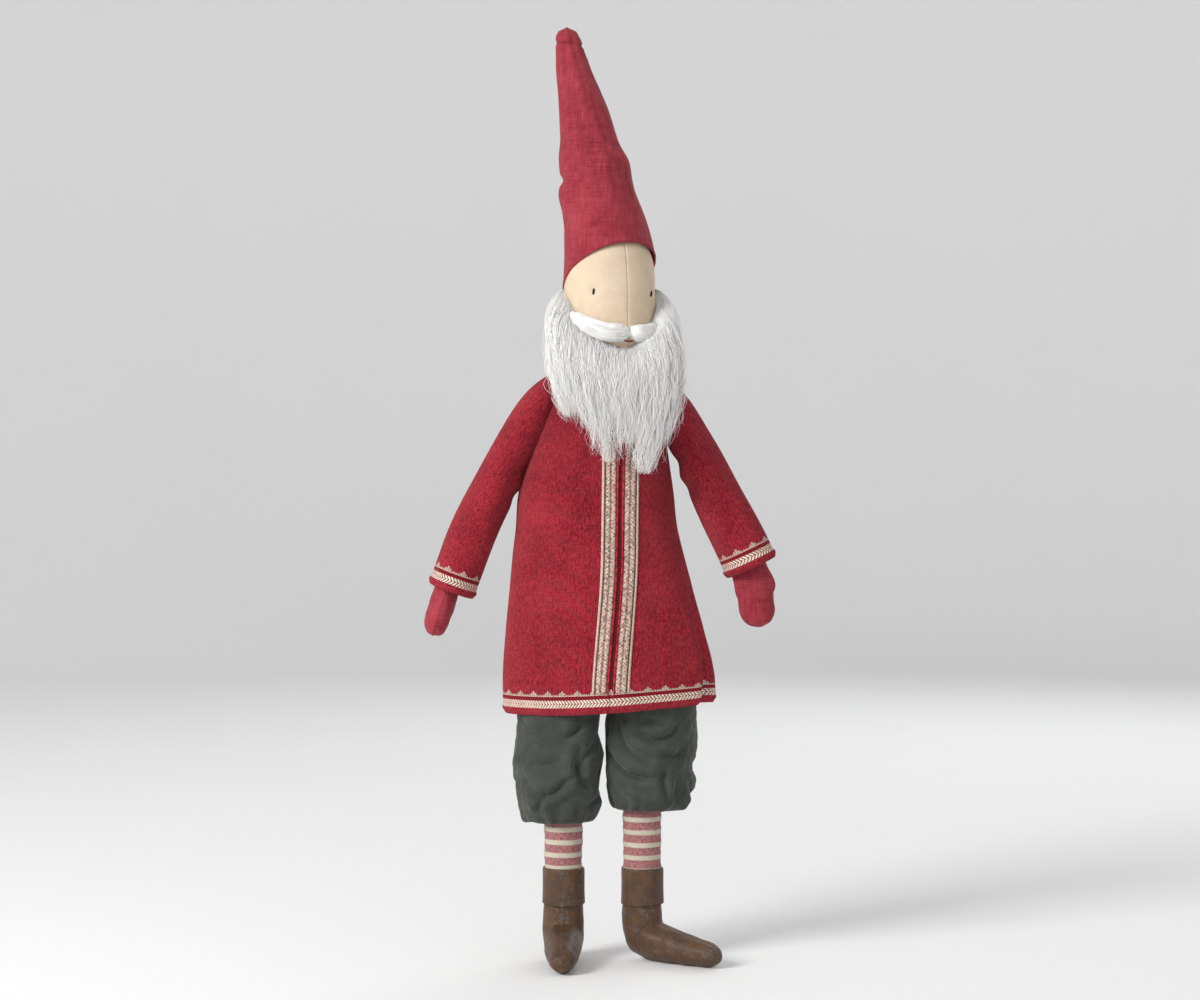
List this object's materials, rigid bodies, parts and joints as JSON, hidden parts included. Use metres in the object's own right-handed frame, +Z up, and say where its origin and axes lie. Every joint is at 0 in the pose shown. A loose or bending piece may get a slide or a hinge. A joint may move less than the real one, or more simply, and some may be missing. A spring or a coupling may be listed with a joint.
{
  "type": "cloth gnome doll",
  "caption": "Standing cloth gnome doll with a tall red hat, white wool beard, red knitted tunic, grey breeches, striped stockings and brown boots.",
  "frame": {"origin": "on the ground, at the middle of the doll's box seen from above", "axes": "+Z up, the doll faces -Y, its right hand side as seen from the front is +X"},
  "size_m": [0.2621, 0.1164, 0.6884],
  "materials": {
    "cotton_skin": "matte",
    "fibre_filling": "matte",
    "red_linen": "matte",
    "red_knit": "matte",
    "beige_trim": "matte",
    "grey_velvet": "matte",
    "striped_cotton": "matte",
    "brown_leather": "satin",
    "white_wool": "matte",
    "black_thread": "matte",
    "dark_red_thread": "matte",
    "elastic": "matte",
    "ballast": "matte"
  },
  "bodies": {
    "torso": {"torso_casing": "cotton_skin", "torso_stuffing": "fibre_filling", "tunic_left_front": "red_knit", "tunic_right_front": "red_knit", "tunic_back": "red_knit", "tunic_neckband": "beige_trim", "left_front_trim": "beige_trim", "right_front_trim": "beige_trim", "breeches_seat": "grey_velvet", "waist_elastic": "elastic"},
    "neck": {"neck_casing": "cotton_skin", "neck_stuffing": "fibre_filling"},
    "head": {"head_left_panel": "cotton_skin", "head_right_panel": "cotton_skin", "head_stuffing": "fibre_filling", "left_eye": "black_thread", "right_eye": "black_thread", "mouth_stitch": "dark_red_thread", "left_moustache": "white_wool", "right_moustache": "white_wool", "beard": "white_wool", "hat_cone": "red_linen", "hat_stuffing": "fibre_filling", "hat_tip_thread": "dark_red_thread"},
    "left_arm": {"left_arm_casing": "cotton_skin", "left_arm_stuffing": "fibre_filling", "left_sleeve": "red_knit", "left_mitten": "red_linen", "left_hand_stuffing": "fibre_filling"},
    "left_leg": {"left_leg_casing": "striped_cotton", "left_leg_stuffing": "fibre_filling", "left_knee_elastic": "elastic", "left_breeches_leg": "grey_velvet", "left_boot_outer_panel": "brown_leather", "left_boot_inner_panel": "brown_leather", "left_boot_cuff": "brown_leather", "left_boot_stuffing": "fibre_filling", "left_boot_weight": "ballast"},
    "right_arm": {"right_arm_casing": "cotton_skin", "right_arm_stuffing": "fibre_filling", "right_sleeve": "red_knit", "right_mitten": "red_linen", "right_hand_stuffing": "fibre_filling"},
    "right_leg": {"right_leg_casing": "striped_cotton", "right_leg_stuffing": "fibre_filling", "right_knee_elastic": "elastic", "right_breeches_leg": "grey_velvet", "right_boot_outer_panel": "brown_leather", "right_boot_inner_panel": "brown_leather", "right_boot_cuff": "brown_leather", "right_boot_stuffing": "fibre_filling", "right_boot_weight": "ballast"}
  },
  "joints": [
    {"name": "head_nod", "type": "hinge", "parent": "torso", "child": "neck", "pos_m": [0.007, 0.009, 0.4425], "axis": [1, 0, 0], "range_deg": [-12, 12]},
    {"name": "head_turn", "type": "hinge", "parent": "neck", "child": "head", "pos_m": [0.007, 0.009, 0.448], "axis": [0, 0, 1], "range_deg": [-45, 15], "deforming": ["beard"]},
    {"name": "left_shoulder", "type": "hinge", "parent": "torso", "child": "left_arm", "pos_m": [-0.058, 0.009, 0.395], "axis": [-1, 0, 0], "range_deg": [-35, 100], "deforming": ["left_sleeve"]},
    {"name": "right_shoulder", "type": "hinge", "parent": "torso", "child": "right_arm", "pos_m": [0.058, 0.009, 0.395], "axis": [-1, 0, 0], "range_deg": [-35, 100], "deforming": ["right_sleeve"]},
    {"name": "left_hip", "type": "hinge", "parent": "torso", "child": "left_leg", "pos_m": [-0.027, 0.009, 0.208], "axis": [-1, 0, 0], "range_deg": [-15, 85], "deforming": ["tunic_left_front", "left_breeches_leg", "breeches_seat", "left_front_trim"]},
    {"name": "right_hip", "type": "hinge", "parent": "torso", "child": "right_leg", "pos_m": [0.031, 0.009, 0.208], "axis": [-1, 0, 0], "range_deg": [-15, 85], "deforming": ["tunic_right_front", "right_breeches_leg", "tunic_back", "right_front_trim"]}
  ]
}
